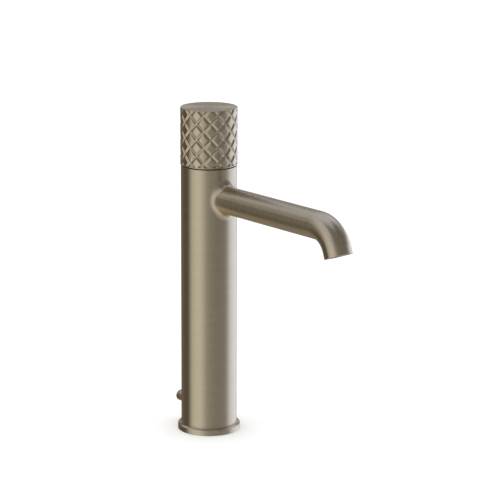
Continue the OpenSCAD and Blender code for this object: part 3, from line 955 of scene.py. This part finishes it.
def relief_patch():
    """The cup's side, on a grid whose lines run along both sets of grooves.

    With a the turn in diamonds and b the height in diamonds, the grooves lie where a + b or a - b is a
    whole number. The grid's points are the pairs of whole steps (m, n) whose sum is even, so its faces
    are diamonds too. Round the grub screw's hole its square rings are rounded into circles.
    """
    steps = 2 * cut_cells
    across = diamonds_round * steps
    first = math.floor((cut_low - crossing_z) / diamond_h * steps)
    last = math.ceil((cut_high - crossing_z) / diamond_h * steps)
    n = np.arange(first, last + 1)[:, None]
    odd = n % 2
    k = np.arange(across // 2 + 1)[None, :]
    m = 2 * k - odd
    low, high = (cut_low - crossing_z) / diamond_h, (cut_high - crossing_z) / diamond_h
    a, b = m / steps, np.clip(n / steps + 0 * m, low, high)
    p, q = a + b, a - b
    calm = np.clip(np.minimum(b - low, high - b) * diamond_h / calm_rows, 0, 1)
    p, q = p + calm * (to_edge(p) - p), q + calm * (to_edge(q) - q)
    a, b = (p + q) / 2, np.clip((p - q) / 2, low, high)

    hole_turn = (math.pi / 2 - camera_side - crossing_turn) % math.tau
    hole_a, hole_b = hole_turn / math.tau * diamonds_round, (screw_z - crossing_z) / diamond_h
    hole_m, hole_n = round(hole_a * steps), round(hole_b * steps)
    hole_m += (hole_m + hole_n) % 2
    ring = (np.abs(m - hole_m) + np.abs(n - hole_n)) / 2
    dx, dz = (a - hole_a) * diamond_w, (b - hole_b) * diamond_h
    raw = np.hypot((m - hole_m) * diamond_w, (n - hole_n) * diamond_h) + 1e-12
    cosine, sine = (m - hole_m) * diamond_w / raw, (n - hole_n) * diamond_h / raw
    ring_marks = [0, floor_ring, wall_ring, brim_ring, last_ring]
    reach = np.interp(ring, ring_marks, np.array([0, 1, 1, 1.07, 2.7]) * screw_hole_r)
    keep = np.clip((ring - brim_ring) / (last_ring - brim_ring), 0, 1)
    dx = keep * dx + (1 - keep) * reach * cosine
    dz = keep * dz + (1 - keep) * reach * sine
    a = np.where(ring < last_ring, hole_a + dx / diamond_w, a)
    b = np.where(ring < last_ring, hole_b + dz / diamond_h, b)
    sunk = np.interp(ring, ring_marks[:4], [screw_hole_depth, screw_hole_depth, screw_hole_break, 0])

    p, q = a + b, a - b
    deep = np.maximum(cut_into(p), cut_into(q))
    deep = np.where((n == first) | (n == last), 0, deep)
    deep = np.where(ring < brim_ring, sunk, deep)
    r = handle_r - deep
    turn = camera_side + crossing_turn + a / diamonds_round * math.tau
    points = np.stack([r * np.cos(turn), r * np.sin(turn), crossing_z + b * diamond_h], axis=-1)
    places = np.stack([a / diamonds_round, crossing_z + b * diamond_h], axis=-1)

    stride = across // 2 + 1
    row = np.arange(last - first + 1)[:, None]
    c = np.arange(across // 2)[None, :]
    left, right = row * stride + c, row * stride + c + 1
    shift = np.where(odd == 0, 1, 0)
    below, above = (row - 1) * stride + c + shift, (row + 1) * stride + c + shift
    quads = np.stack([left, below, right, above], axis=-1)[1:-1].reshape(-1, 4)
    bottom = np.stack([left, right, above], axis=-1)[0]
    top = np.stack([left, below, right], axis=-1)[-1]
    faces = quads.tolist() + bottom.tolist() + top.tolist()
    rows = (turn[0], turn[-1])
    return (points.reshape(-1, 3), places.reshape(-1, 2), faces), rows


def cup_patch(outline, turn):
    """The plain, turned parts of the cup, on the same angles as the relief's last row."""
    r, z = outline[:, 0, None], outline[:, 1, None]
    points = np.stack([r * np.cos(turn), r * np.sin(turn), z + 0 * turn], axis=-1)
    around = (turn - camera_side - crossing_turn) / math.tau
    return grid_patch(points, around + 0 * r, z - r + 0 * turn)


camera_side = math.atan2(-math.cos(camera_azimuth), -math.sin(camera_azimuth))
relief, (bottom_turn, top_turn) = relief_patch()
rim_outline = rounded([
    (handle_r, cut_high, 0),
    (handle_r, handle_top, rim_break),
    (0.9 * handle_r, handle_top, 0),
    (0.02 * mm, handle_top, 0),
    (0, handle_top, 0),
])
cup_outline = rounded([
    (handle_r, cut_low, 0),
    (handle_r, handle_bottom, cup_round),
    (handle_in_r, handle_bottom, cup_round),
    (handle_in_r, handle_ceiling, 0),
    (0, handle_ceiling, 0),
])

handle_mesh = join_patches(
    "handle_cup",
    [relief, cup_patch(rim_outline, top_turn), cup_patch(cup_outline, bottom_turn)],
    28,
)
handle_nickel = nickel_material("nickel_handle", brush_lines, 1.2, satin_roughness, satin_stretch, 0.004 * mm)
finish_piece("handle_cup", handle_mesh, handle_nickel, "handle_assembly", ["handle"])


# ---- Waste lift -----------------------------------------------------------------------------------
# A brass slider runs in a moulded guide behind the column's slot and pulls the plug's rod. A short neck
# carries a small turned knob out through the slot, plated and brushed like the rest.

paint_nodes(moulded_polymer, ["lift_guide"])
paint_nodes(raw_brass, ["lift_slider"])
knob_low, knob_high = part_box("lift_knob")
knob_r = (knob_high.x - knob_low.x) / 2
knob_z = (knob_high.z + knob_low.z) / 2
neck_r = (neck_high.x - neck_low.x) / 2
neck_overlap = 1 * mm
knob_round = 0.35 * mm
lift_columns = 96


def lying_patch(outline):
    """An outline of (distance from the knob's axis, place along +Y) carried round that axis."""
    r, y = outline[:, 0, None], outline[:, 1, None]
    turn = np.linspace(-np.pi / 2, 3 * np.pi / 2, lift_columns + 1)[None, :]
    points = np.stack([r * np.cos(turn), y + 0 * turn, knob_z + r * np.sin(turn)], axis=-1)
    return grid_patch(points, turn / math.tau + 0 * r, y - r + 0 * turn)


knob_outline = rounded([
    (0, knob_low.y, 0),
    (knob_r, knob_low.y, knob_round),
    (knob_r, knob_high.y, knob_round),
    (0, knob_high.y, 0),
])
neck_outline = rounded([
    (0, neck_low.y, 0),
    (neck_r, neck_low.y, 0.2 * mm),
    (neck_r, knob_low.y + neck_overlap, 0),
    (0, knob_low.y + neck_overlap, 0),
])
knob_nickel = nickel_material("nickel_knob", brush_lines, 0.35, satin_roughness, satin_stretch, 0.004 * mm)
cap_mesh = join_patches("knob_cap", [lying_patch(knob_outline)])
finish_piece("knob_cap", cap_mesh, knob_nickel, "lift_assembly", ["lift_knob"])
stem_mesh = join_patches("knob_stem", [lying_patch(neck_outline)])
finish_piece("knob_stem", stem_mesh, knob_nickel, "lift_assembly", ["knob_neck"])
